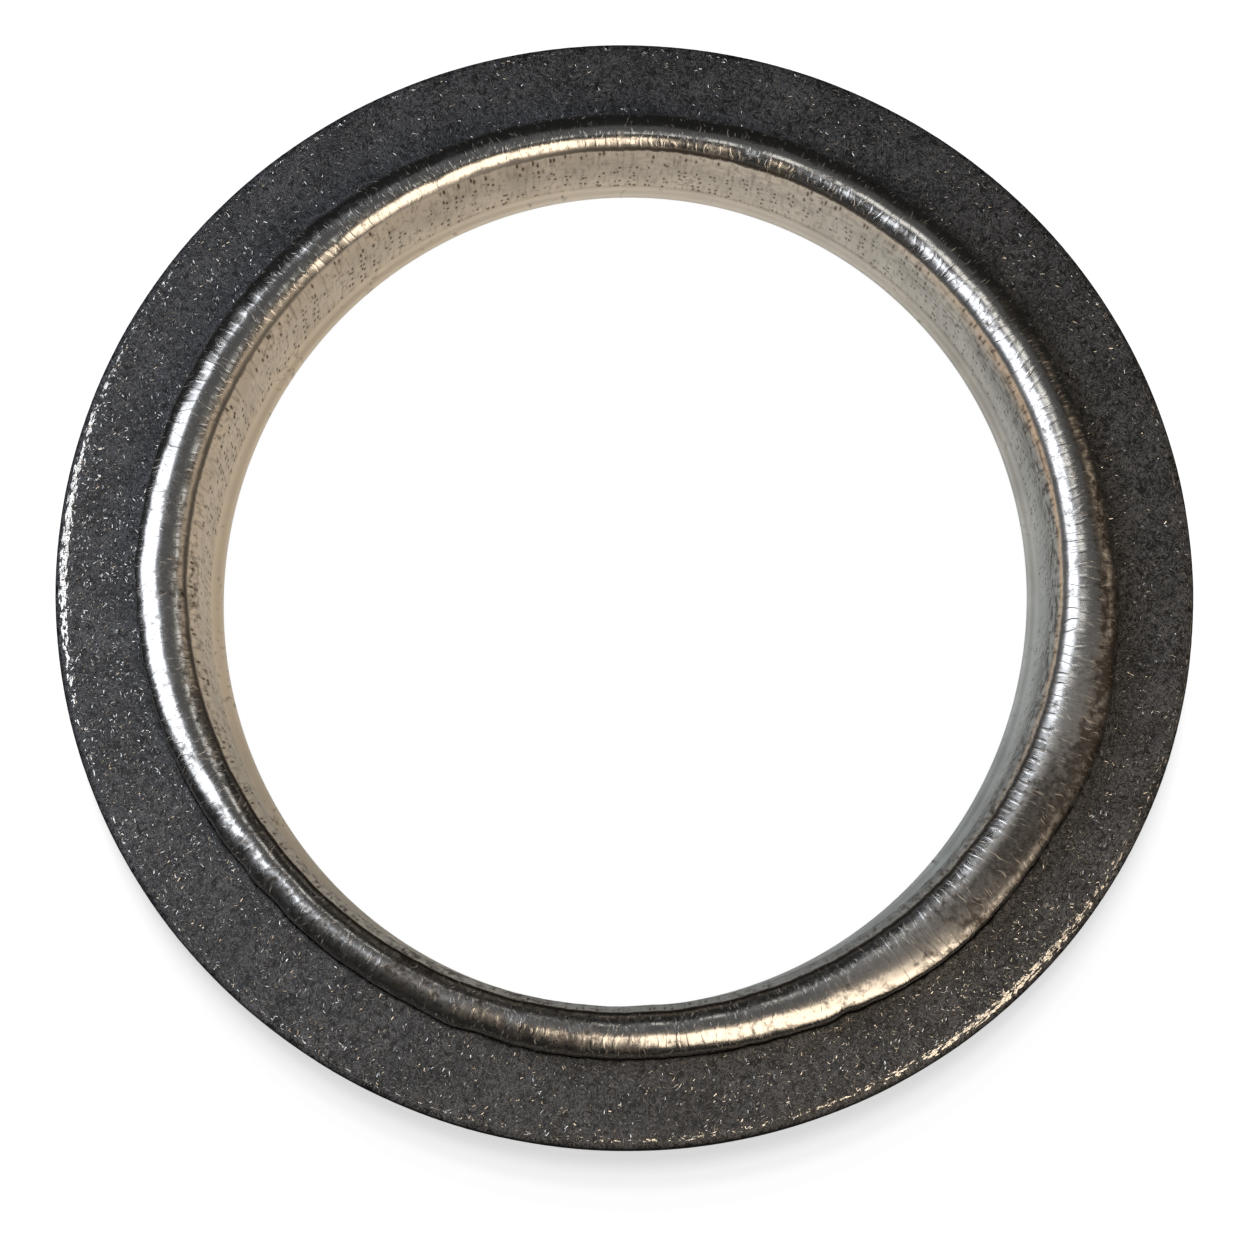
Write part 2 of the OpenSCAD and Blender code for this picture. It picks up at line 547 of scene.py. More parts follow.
@dataclass(frozen=True)
class RolledStainless:
    """Thin stainless sheet, rolled over at one end and pressed on knitted wire.

    To the eye the bead is bright and sharp, with a fine ripple across it from the rolling, soot
    that gathers in mottles, and short hairs and nicks that cross it; the hairs take a light colour,
    a painted glint, and matt charring over part of the crest is partly painted shade. The wall is
    satin, with ladders of dark pits where the knit printed through, and the lip is plain. Wall and
    lip carry painted light: a yellowish tint and a lighter lip on one side, a bluish-grey tint on
    the other, and painted shade on the wall's upper part, on the lip in places, in the crease by
    the packing and along the line where the bead meets the wall.
    """

    bright: str = "#b6b4b0"
    # Painted light: yellowish and bluish-grey lit copies of the wall's colour.
    warm_lit_wall: str = "#cfc4b3"
    cool_lit_wall: str = "#b9bbb5"
    # Painted light: the lighter colour of the lip on the yellowish side.
    lip: str = "#dedad0"
    tan: str = "#dbbf9f"
    soot_and_crease_shade: str = "#30251a"
    # Dark colour of the charring, partly painted shade.
    char_and_shade: str = "#1b1917"
    grit: str = "#47423c"
    rust: str = "#40301f"
    # Painted glint: the light colour of the hairlines.
    hairline_and_glint: str = "#e2d6c4"
    bead_roughness: float = 0.15
    wall_roughness: float = 0.52
    wall_metal: float = 0.12
    hair_mm: tuple[float, float] = (0.10, 0.75)
    mottle_mm: float = 0.42
    fold_mm: float = 1.42
    ripple_mm: tuple[float, float] = (0.62, 0.008)
    sway_mm: float = 1.8
    drift_mm: float = 2.2
    grit_mm: float = 0.17
    stain_mm: tuple[float, float] = (0.24, 1.4)
    smudge_mm: tuple[float, float] = (0.75, 0.26)
    course_mm: float = 0.70
    clump_mm: float = 2.0
    ragged_mm: float = 0.12
    pit_mm: tuple[float, float] = (0.068, 0.14)

    def pits(self, tree: bpy.types.NodeTree, uv: bpy.types.NodeSocket,
             wale: float) -> bpy.types.NodeSocket:
        """Draw dark pits in ladders, a pair of pits for each course of each wale.

        Args:
            tree: the material's node tree.
            uv: coordinates on the knit in mm: along the courses, then down the wales.
            wale: width of a wale in mm.

        Returns:
            A socket with the depth of the pits, from 0 to 1.
        """
        size = (2.0 / wale, 1.0 / self.course_mm, 1.0)
        cells = add(tree, "VectorMath", uv, size, operation="MULTIPLY")
        name = add(tree, "VectorMath", cells, operation="FLOOR")
        chance = add(tree, "TexWhiteNoise", {"Vector": name}, noise_dimensions="2D").node.outputs
        draw = add(tree, "SeparateColor", chance["Color"]).node.outputs
        axes = add(tree, "SeparateXYZ", uv).node.outputs
        part = add(tree, "SeparateXYZ",
                   add(tree, "VectorMath", cells, operation="FRACTION")).node.outputs
        side = add(tree, "Math", axes[0], wale / 2.0, operation="PINGPONG")
        jog = add(tree, "MapRange", {0: draw[1], 3: 0.03, 4: 0.22})
        across = add(tree, "Math", side, jog, operation="SUBTRACT")
        across = add(tree, "Math", across, 1.0 / self.pit_mm[0], operation="MULTIPLY")
        mid = add(tree, "MapRange", {0: draw[2], 3: 0.24, 4: 0.76})
        down = add(tree, "Math", part[1], mid, operation="SUBTRACT")
        down = add(tree, "Math", down, self.course_mm / self.pit_mm[1], operation="MULTIPLY")
        far = add(tree, "CombineXYZ", across, down)
        far = add(tree, "VectorMath", far, out="Value", operation="LENGTH")
        ragged = add(tree, "TexNoise", {"Vector": uv, "Scale": 1.0 / self.ragged_mm, "Detail": 1.0},
                     noise_dimensions="2D")
        far = add(tree, "Math", ragged, 1.2, far, operation="MULTIPLY_ADD")
        clump = add(tree, "TexNoise", {"Vector": uv, "Scale": 1.0 / self.clump_mm, "Detail": 2.0},
                    noise_dimensions="2D")
        rich = add(tree, "MapRange", clump, 0.34, 0.62, 0.3, 1.3)
        size = add(tree, "Math", rich, draw[0], operation="SUBTRACT")
        reach = add(tree, "MapRange", size, 0.0, 0.6, 0.3, 1.9)
        inside = add(tree, "Math", reach, far, operation="SUBTRACT")
        halo = add(tree, "MapRange", {0: inside, 1: -1.1, 2: 0.1, 4: 0.28})
        core = add(tree, "MapRange", {0: inside, 1: -0.05, 2: 0.45, 4: 0.9})
        return add(tree, "Math", halo, core, operation="MAXIMUM")

    def crossing(self, tree: bpy.types.NodeTree, uv: bpy.types.NodeSocket,
                 offset: float) -> bpy.types.NodeSocket:
        """Give a noise drawn out across the bead and a little bent, about 0.5 on average."""
        moved = add(tree, "VectorMath", uv, (offset, offset, 0.0))
        bend = add(tree, "TexNoise", {"Vector": moved, "Scale": 1.0 / 1.1, "Detail": 1.0},
                   noise_dimensions="2D")
        aside = add(tree, "MapRange", {0: bend, 3: -0.35, 4: 0.35})
        bent = add(tree, "CombineXYZ", aside)
        bent = add(tree, "VectorMath", moved, bent)
        return streaks(tree, bent, self.hair_mm, 1.0)

    def material(self, bead_run: float, wall_run: float, wale: float) -> bpy.types.Material:
        """Build the material.

        It reads the map pattern_mm, with the arc round the bead and the run along the section,
        the map knit_mm, the same but slanted like the knit, and the marks on the sleeve.

        Args:
            bead_run: run along the section at which the bead ends and the wall starts, in mm.
            wall_run: run at which the wall ends and the lip starts, in mm.
            wale: width of a wale of the knit on the maps, in mm.

        Returns:
            The material.
        """
        made, tree, shader = new_material("stainless_sheet_rolled")
        uv = add(tree, "UVMap", uv_map="pattern_mm")
        stitch = add(tree, "UVMap", uv_map="knit_mm")
        soot_and_crease_shade, warm_lit_share, painted_wall_shade, seam, tan, smudged, charred_and_shaded, rippled = (
            add(tree, "Attribute", out="Fac", attribute_name=mark) for mark in
            ("soot_and_crease_shade", "warm_lit_share", "painted_wall_shade", "seam", "tan", "smudged", "charred_and_shaded", "rippled"))
        place = add(tree, "TexCoord", out="Object")
        run = add(tree, "SeparateXYZ", uv, out=1)
        fold = bead_run - self.fold_mm
        on_wall = add(tree, "MapRange", run, fold - 0.06, fold + 0.14,
                      interpolation_type="SMOOTHSTEP")
        past_lip = add(tree, "MapRange", run, wall_run - 0.15, wall_run,
                       interpolation_type="SMOOTHSTEP")
        knit = add(tree, "Math", on_wall, past_lip, operation="SUBTRACT")
        on_bead = add(tree, "Math", 1.0, on_wall, operation="SUBTRACT")
        hairline_and_glint = self.crossing(tree, uv, 0.0)
        hairline_and_glint = add(tree, "MapRange", hairline_and_glint, 0.68, 0.78)
        nick = self.crossing(tree, uv, 71.3)
        nick = add(tree, "MapRange", {0: nick, 1: 0.25, 2: 0.16, 4: 0.7})
        hairline_and_glint = add(tree, "Math", hairline_and_glint, on_bead, operation="MULTIPLY")
        nick = add(tree, "Math", nick, on_bead, operation="MULTIPLY")
        mottle = add(tree, "TexNoise",
                     {"Vector": place, "Scale": 1.0 / (self.mottle_mm * MM), "Detail": 4.0,
                      "Roughness": 0.62})
        drift = add(tree, "TexNoise",
                    {"Vector": place, "Scale": 1.0 / (self.drift_mm * MM), "Detail": 2.0})
        cover = add(tree, "Math", drift, 0.5, mottle, operation="MULTIPLY_ADD")
        cover = add(tree, "Math", soot_and_crease_shade, 0.4, cover, operation="MULTIPLY_ADD")
        # Soot mottles and nicks; smudges and the painted shade line at the fold join them below, and
        # cover carries the painted crease shade.
        dirt_and_shade = add(tree, "MapRange", {0: cover, 1: 0.86, 2: 1.12, 4: 0.85})
        dirt_and_shade = add(tree, "Math", dirt_and_shade, nick, operation="MAXIMUM")
        pits = self.pits(tree, stitch, wale)
        pits = add(tree, "Math", pits, knit, operation="MULTIPLY")
        stain = streaks(tree, stitch, self.stain_mm, 2.0)
        stain = add(tree, "MapRange", {0: stain, 1: 0.5, 2: 0.78, 4: 0.42})
        stain = add(tree, "Math", stain, knit, operation="MULTIPLY")
        pits = add(tree, "Math", pits, stain, operation="MAXIMUM")
        printed = add(tree, "MapRange", {0: warm_lit_share, 3: 0.7, 4: 1.0})
        pits = add(tree, "Math", pits, printed, operation="MULTIPLY")
        # Painted shade: a dark line along the fold where the bead meets the wall, shaken by the mottle.
        shaken = add(tree, "Math", mottle, 0.3, run, operation="MULTIPLY_ADD")
        shaken = add(tree, "Math", shaken, fold + 0.15, operation="SUBTRACT")
        rise = add(tree, "MapRange", {0: shaken, 1: -0.36, 2: -0.05, 4: 0.95},
                   interpolation_type="SMOOTHSTEP")
        fall = add(tree, "MapRange", shaken, 0.15, 0.06, interpolation_type="SMOOTHSTEP")
        line = add(tree, "Math", rise, fall, operation="MULTIPLY")
        dash = streaks(tree, uv, self.smudge_mm, 2.5)
        smudge = add(tree, "MapRange", {0: dash, 1: 0.44, 2: 0.66, 4: 0.8})
        smudge = add(tree, "Math", smudge, smudged, operation="MULTIPLY")
        line = add(tree, "Math", line, seam, operation="MULTIPLY")
        for mark in (line, smudge):
            dirt_and_shade = add(tree, "Math", dirt_and_shade, mark, operation="MAXIMUM")
        # Painted light: the wall's colour blends a yellowish lit copy and a bluish-grey lit copy by
        # angle.
        lit_wall_colour = add(tree, "Mix", {0: warm_lit_share, 6: linear(self.cool_lit_wall), 7: linear(self.warm_lit_wall)},
                   out=2, data_type="RGBA")
        # Painted shade: darkens the wall's upper part and the lip; drift adds a random change of tone.
        shade = add(tree, "MapRange", painted_wall_shade, -0.4, 1.0, 0.87, 0.3)
        shade = add(tree, "Math", drift, 0.56, shade, operation="MULTIPLY_ADD")
        lit_wall_colour = add(tree, "VectorMath", {0: lit_wall_colour, "Scale": shade}, operation="SCALE")
        # Painted light: the lip is made lighter where the wall has the yellowish tint.
        painted_lit_lip = add(tree, "Math", warm_lit_share, 0.7, operation="MULTIPLY")
        painted_lit_lip = add(tree, "Math", past_lip, painted_lit_lip, operation="MULTIPLY")
        for name, share in ((self.lip, painted_lit_lip), (self.tan, tan)):
            lit_wall_colour = add(tree, "Mix", {0: share, 6: lit_wall_colour, 7: linear(name)}, out=2, data_type="RGBA")
        metal = add(tree, "Mix", {0: on_wall, 6: linear(self.bright), 7: lit_wall_colour}, out=2,
                    data_type="RGBA")
        # Painted glint: the hairlines take a light colour and lose some metal, so they show bright
        # under any light.
        shown = add(tree, "Math", hairline_and_glint, 0.4, operation="MULTIPLY")
        # Partly painted shade: matt dark charring that also hides a reflection across the crest.
        char_and_shade = add(tree, "MapRange", cover, 0.5, 0.8, 0.55, 1.0)
        char_and_shade = add(tree, "Math", char_and_shade, charred_and_shaded, operation="MULTIPLY")
        grit = add(tree, "TexNoise",
                   {"Vector": place, "Scale": 1.0 / (self.grit_mm * MM), "Detail": 3.0})
        grit = add(tree, "MapRange", grit, 0.4, 0.66)
        grit = add(tree, "Mix", {0: grit, 6: linear(self.char_and_shade), 7: linear(self.grit)}, out=2,
                   data_type="RGBA")
        colour = metal
        for tone, share in ((linear(self.rust), pits), (linear(self.soot_and_crease_shade), dirt_and_shade), (grit, char_and_shade),
                            (linear(self.hairline_and_glint), shown)):
            colour = add(tree, "Mix", {0: share, 6: colour, 7: tone}, out=2, data_type="RGBA")
        dirt_and_shade = add(tree, "Math", dirt_and_shade, pits, operation="MAXIMUM")
        rough = add(tree, "MapRange", {0: on_wall, 3: self.bead_roughness, 4: self.wall_roughness})
        for mark, share in ((mottle, 0.09), (dirt_and_shade, 0.3), (soot_and_crease_shade, 0.12), (char_and_shade, 0.25)):
            rough = add(tree, "Math", mark, share, rough, operation="MULTIPLY_ADD")
        bare = add(tree, "MapRange", {0: on_wall, 3: 1.0, 4: self.wall_metal})
        for mark in (shown, char_and_shade):
            bare = add(tree, "Math", bare, mark, operation="SUBTRACT", use_clamp=True)
        sway = add(tree, "TexNoise", {"Vector": uv, "Scale": 1.0 / self.sway_mm, "Detail": 1.0},
                   noise_dimensions="2D")
        arc = add(tree, "SeparateXYZ", uv)
        phase = add(tree, "Math", arc, 2.0 * math.pi / self.ripple_mm[0], operation="MULTIPLY")
        phase = add(tree, "Math", sway, 9.0, phase, operation="MULTIPLY_ADD")
        wave = add(tree, "Math", phase, operation="COSINE")
        wave = add(tree, "MapRange", wave, 0.35, 1.0, interpolation_type="SMOOTHSTEP")
        wave = add(tree, "Math", wave, rippled, operation="MULTIPLY")
        wave = add(tree, "Math", wave, on_bead, operation="MULTIPLY")
        relief: Any = 0.0
        for mark, high in ((dirt_and_shade, -0.004), (hairline_and_glint, 0.004), (mottle, 0.0015), (wave, self.ripple_mm[1])):
            relief = add(tree, "Math", mark, high, relief, operation="MULTIPLY_ADD")
        bump = add(tree, "Bump", {"Height": relief, "Strength": 1.0, "Distance": MM})
        feed(tree, shader, {"Base Color": colour, "Metallic": bare, "Roughness": rough,
                            "Normal": bump})
        return made


@dataclass(frozen=True)
class DrawnWire:
    """Drawn stainless wire, cut short: bright all over, with a little oxide in places."""

    clean: str = "#cbc9c5"
    oxide: str = "#8a8479"
    roughness: float = 0.33

    def material(self) -> bpy.types.Material:
        """Build the material."""
        made, tree, shader = new_material("stainless_wire_drawn")
        place = add(tree, "TexCoord", out="Object")
        spread = add(tree, "TexNoise", {"Vector": place, "Scale": 1.0 / (0.8 * MM)})
        level = add(tree, "MapRange", spread, 0.4, 0.65)
        colour = add(tree, "Mix", {0: level, 6: linear(self.clean), 7: linear(self.oxide)}, out=2,
                     data_type="RGBA")
        feed(tree, shader, {"Base Color": colour, "Metallic": 1.0, "Roughness": self.roughness})
        return made


@dataclass
class PackingRing:
    """The pressed packing: a flat face, a rounded shoulder, a straight land and a bevelled seat.

    Attributes:
        sizes: the ring's sizes.
        rolled: how the bead beside it wanders.
        shoulder: width of the gentle fall of the face towards its outer edge, in mm.
        fall: depth of that fall in mm.
        chips: number of small chips along the outer edge.
        grain: fine unevenness of the skin.
        swell: slow unevenness of the skin.
        rubbed: how much the very edge is burnished, round the ring.
        grazed: how much a wider band inside the edge is burnished, round the ring.
        nipped: how much a thin line on the land just below the edge is burnished, round the ring.
        face_shade: how much painted shade darkens the face, round the ring, towards the front and the
            upper left.
    """

    sizes: RingSizes
    rolled: RolledEdge
    shoulder: float = 0.9
    fall: float = 0.17
    chips: int = 90
    grain: Ripple = field(default_factory=lambda: Ripple(3, 0.010, (150, 480), 0.45, 70))
    swell: Ripple = field(default_factory=lambda: Ripple(5, 0.012, (4, 40), 4.0, 30))
    rubbed: AllRound = AllRound(0.44, (Kink(182.0, 13.0, 0.24), Kink(50.0, 18.0, 0.02),
                                       Kink(85.0, 12.0, 0.12), Kink(205.0, 14.0, 0.10)))
    grazed: AllRound = AllRound(0.0, (Kink(48.0, 17.0, 0.46), Kink(184.0, 16.0, 0.40)))
    nipped: AllRound = AllRound(0.0, (Kink(2.0, 38.0, 0.75),))
    # Painted shade on the face, towards the front and the upper left.
    face_shade: AllRound = AllRound(0.0, (Kink(90.0, 42.0, 0.18), Kink(225.0, 30.0, 0.12)))

    def outline(self) -> Outline:
        """Walk the section: lower face, bevel, land, shoulder, face, groove, crown and bore."""
        s = self.sizes
        inset = s.sheet + s.fit_gap
        inner = s.bore + inset
        groove_in, groove_out = s.bead_outer - inset, s.bead_outer + s.fit_gap
        groove_z = s.face_z - s.tuck - s.fit_gap
        seat = s.outer - s.bevel_width
        out = Outline()
        out.line((inner, 0.0), (seat, 0.0), 5, Zone.SEAT)
        out.line((seat, 0.0), (s.outer, s.land_low), 9, Zone.SEAT)
        out.line((s.outer, s.land_low), (s.outer, s.face_z - s.edge), 7, Zone.LAND)
        out.arc((s.outer - s.edge, s.face_z - s.edge), s.edge, 0.0, 90.0, 7, Zone.LAND)
        out.line((s.outer - s.edge, s.face_z), (groove_out + s.crease, s.face_z), 32, Zone.FACE)
        out.arc((groove_out + s.crease, s.face_z - s.crease), s.crease, 90.0, 180.0, 4, Zone.FACE)
        out.line((groove_out, s.face_z - s.crease), (groove_out, groove_z), 2, Zone.HIDDEN)
        out.line((groove_out, groove_z), (groove_in, groove_z), 1, Zone.HIDDEN)
        out.line((groove_in, groove_z), (groove_in, s.bead_out_z), 2, Zone.HIDDEN)
        out.arc((s.crest, s.bead_out_z), s.bead_out - inset, 0.0, 90.0, 4, Zone.HIDDEN)
        out.arc((s.crest, s.bead_in_z), s.bead_in - inset, 90.0, 180.0, 5, Zone.HIDDEN)
        out.line((inner, s.bead_in_z), (inner, 0.0), 3, Zone.HIDDEN)
        return out

    def surface(self, angle: np.ndarray) -> tuple[np.ndarray, np.ndarray, np.ndarray, Outline]:
        """Work out the grid of the packing's surface.

        The section is carried round the axis. The face falls by fall * t^2 over the shoulder,
        chips take bell-shaped bites from the edge, the outer edge is slightly oval, and a swell
        and a fine grain lift the skin.

        Args:
            angle: the columns' angles in radians.

        Returns:
            Radii, heights and run of the section in mm, and the outline.
        """
        s = self.sizes
        out = self.outline()
        r0, z0, run = out.arrays()
        zones = np.array([z.value for z in out.zones])
        r, z = r0[:, None] + 0.0 * angle, z0[:, None] + 0.0 * angle
        skin = np.isin(zones, [Zone.FACE.value, Zone.LAND.value])[:, None] * 1.0
        on_seat = ((zones == Zone.SEAT.value) & (z0 > 0.0))[:, None] * 1.0
        t = np.clip((r0 - (s.outer - self.shoulder)) / self.shoulder, 0.0, 1.0)[:, None]
        upper = (z0 > s.land_low + 0.1)[:, None]
        z = z - self.fall * t * t * upper
        calm = 1.0 - 0.8 * smooth_step(r0, s.outer - 0.7, s.outer - 0.25)[:, None]
        calm = calm * (0.2 + 0.8 * smooth_step(r0, s.bead_outer + 0.1, s.bead_outer + 0.7)[:, None])
        relief = calm * (self.grain(angle, run[:-1, None]) + self.swell(angle, run[:-1, None]))
        lean = (zones == Zone.FACE.value)[:, None]
        z = z + relief * skin * lean
        r = r + relief * (skin * ~lean + 0.6 * on_seat)
        rim = smooth_step(r0, s.outer - 1.2, s.outer)[:, None] * (z0 > 0.3)[:, None]
        degrees = np.degrees(angle)
        oval = (0.06 * np.cos(np.radians(degrees - 205.0))
                + 0.07 * np.cos(2.0 * np.radians(degrees - 208.0)))
        r = r + rim * oval
        rng = np.random.default_rng(17)
        at, wide, deep = (rng.uniform(0.0, 360.0, self.chips), rng.uniform(0.2, 0.7, self.chips),
                          rng.uniform(0.002, 0.012, self.chips))
        gap = angle_gap(angle, at[:, None]) / wide[:, None]
        bite = np.sum(deep[:, None] * np.exp(-gap ** 2), axis=0)
        edge_run = run[np.argmax(zones == Zone.FACE.value)]
        edge = np.exp(-(((run[:-1] - edge_run) / 0.35) ** 2))[:, None]
        r = r - bite * edge
        z = z - 0.6 * bite * edge
        r = r + self.rolled.shift(r, z0[:, None], angle, s)
        return r, z, run, out

    def wear(self, angle: np.ndarray, run: np.ndarray, out: Outline) -> np.ndarray:
        """Say how much each grid point is burnished, from 0 to 1.

        With d the distance in mm from the outer edge inwards along the skin, the rubbed edge is a
        bell curve round d = 0.15, the nipped line a thin one round d = -0.2, and the grazed band
        fades as exp(-d / 1.3).

        Args:
            angle: the columns' angles in radians.
            run: run along the section in mm.
            out: the outline.

        Returns:
            The wear on the grid.
        """
        d = (run[:-1] - run[out.zones.index(Zone.FACE)])[:, None]
        on_skin = np.array([q in (Zone.FACE, Zone.LAND) for q in out.zones])[:, None]
        edge = self.rubbed(angle) * np.exp(-(((d - 0.15) / 0.20) ** 2))
        band = self.grazed(angle) * np.exp(-np.maximum(d, 0.0) / 1.3) * (d > -0.1)
        line = self.nipped(angle) * np.exp(-(((d + 0.20) / 0.10) ** 2))
        return np.clip((edge + band + line) * on_skin, 0.0, 1.0)

    def build(self, finish: PressedGraphite) -> bpy.types.Object:
        """Make the piece, dress it and let it stand for its node.

        The pattern map is the section rolled out flat: a point lies at the run from the crease,
        plus the crease's radius, from the middle, so the pattern has no seam.

        Args:
            finish: the packing's finish.

        Returns:
            The piece.
        """
        angle = columns()
        r, z, run, out = self.surface(angle)
        face_end = run[len(out.zones) - 1 - out.zones[::-1].index(Zone.FACE) + 1]
        spread = (self.sizes.bead_outer + (face_end - run))[:, None]
        turn = columns(1)
        flat = np.stack([spread * np.cos(turn), -spread * np.sin(turn)], 2)
        along = np.stack(np.broadcast_arrays(self.sizes.outer * turn[None, :], spread), 2)
        edge_run = run[out.zones.index(Zone.FACE)]
        # Painted shade on the outer edge, the land and the bevel: strongest at the edge, weaker on the
        # bevel.
        painted_edge_shade = 0.94 * (1.0 - smooth_step(run[:-1], edge_run - 0.36, edge_run - 0.18))[:, None]
        painted_edge_shade = painted_edge_shade - 0.56 * (1.0 - smooth_step(run[:-1], edge_run - 1.9, edge_run - 0.9))[:, None]
        # The painted shade on the face joins the painted shade on the edge.
        painted_edge_shade = np.maximum(painted_edge_shade, self.face_shade(angle))
        piece = ring_mesh("packing_felt", r, z, angle, {"pattern_mm": flat, "edge_mm": along},
                          {"wear": self.wear(angle, run, out), "painted_edge_shade": painted_edge_shade})
        piece.data.materials.append(finish.material())
        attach(piece, "root")
        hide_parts("packing_ring")
        return piece


@dataclass
class WireEnds:
    """Short cut wire ends that lie in the packing's skin and glint.

    Attributes:
        packing: the packing that carries them.
        count: number of wire ends.
        length: shortest and longest, in mm.
        thickness: thinnest and thickest, in mm.
        tilt: how far their ends stand out of the skin, as a slope.
        dense: how densely they lie, round the ring.
    """

    packing: PackingRing
    count: int = 9000
    length: tuple[float, float] = (0.05, 0.23)
    thickness: tuple[float, float] = (0.022, 0.048)
    tilt: float = 0.16
    dense: AllRound = AllRound(0.40, (Kink(176.0, 38.0, 1.1), Kink(55.0, 26.0, 0.7),
                                      Kink(118.0, 26.0, 0.25)))

    def places(self, rng: np.random.Generator) -> tuple[np.ndarray, np.ndarray, np.ndarray, np.ndarray]:
        """Draw the places of the wire ends, denser where the edge is worn.

        Args:
            rng: the random draws.

        Returns:
            For each wire its place, the way across the section, the way round and the normal.
        """
        fine = columns()
        r, z, run, out = self.packing.surface(fine)
        inside = r.mean(1) < self.packing.sizes.outer - 0.4
        rows = np.flatnonzero(np.array([q is Zone.FACE for q in out.zones]) & inside)[:-4]
        worn = self.packing.wear(fine, run, out)[rows]
        chance = (self.dense(fine) + 1.5 * worn) * np.diff(run)[rows][:, None]
        drawn = rng.choice(chance.size, self.count, p=(chance / chance.sum()).reshape(-1))
        row, column = rows[drawn // AROUND], drawn % AROUND
        a = fine[column]
        here = np.stack([r[row, column] * np.cos(a), -r[row, column] * np.sin(a), z[row, column]], 1)
        slope_r = r[row + 1, column] - r[row - 1, column]
        slope_z = z[row + 1, column] - z[row - 1, column]
        size = np.hypot(slope_r, slope_z)
        slope_r, slope_z = slope_r / size, slope_z / size
        across = np.stack([slope_r * np.cos(a), -slope_r * np.sin(a), slope_z], 1)
        along = np.stack([-np.sin(a), -np.cos(a), np.zeros(self.count)], 1)
        normal = np.cross(across, along)
        outward = np.sign(np.sum(normal * (here * [1, 1, 0] + [0, 0, 9.0]), 1))
        step = np.stack([np.diff(run)[row], 2.0 * math.pi / AROUND * r[row, column]], 1)
        stray = step * rng.uniform(-0.5, 0.5, (self.count, 2))
        here = here + across * stray[:, :1] + along * stray[:, 1:]
        return here, across, along, normal * outward[:, None]

    def build(self, finish: DrawnWire) -> bpy.types.Object:
        """Make all the wire ends as one mesh.

        Each is a straight square bar, laid in the skin's tangent plane at a drawn place and turn,
        rolled about its own axis by a drawn angle, with its axis a little below the skin.

        Args:
            finish: the wire's finish.

        Returns:
            The piece.
        """
        rng = np.random.default_rng(29)
        n = self.count
        here, across, along, normal = self.places(rng)
        turn = rng.uniform(0.0, math.pi, n)
        ahead = np.cos(turn)[:, None] * along + np.sin(turn)[:, None] * across
        aside = np.cross(normal, ahead)
        length = self.length[0] + (self.length[1] - self.length[0]) * rng.power(0.7, n)
        thick = rng.uniform(*self.thickness, n)
        rise = rng.normal(0.0, self.tilt, n) * length
        sunk = rng.uniform(-0.30, 0.15, n) * thick
        roll = rng.uniform(0.0, 0.5 * math.pi, n)
        t = np.array([-0.5, 0.5])
        spine = (here[:, None] + ahead[:, None] * (length[:, None] * t)[..., None]
                 + normal[:, None] * (sunk[:, None] + rise[:, None] * t)[..., None])
        around = roll[:, None] + 0.5 * math.pi * np.arange(4)
        ring = aside[:, None] * np.cos(around)[..., None] + normal[:, None] * np.sin(around)[..., None]
        points = spine[:, :, None] + ring[:, None] * (0.6 * thick[:, None, None, None])
        quads = np.array([[0, 1, 5, 4], [1, 2, 6, 5], [2, 3, 7, 6], [3, 0, 4, 7],
                          [3, 2, 1, 0], [4, 5, 6, 7]])
        faces = (quads[None] + 8 * np.arange(n)[:, None, None]).reshape(-1, 4)
        piece = new_piece("packing_wire_ends", points.reshape(-1, 3) * MM, faces.tolist())
        piece.data.materials.append(finish.material())
        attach(piece, "root")
        return piece


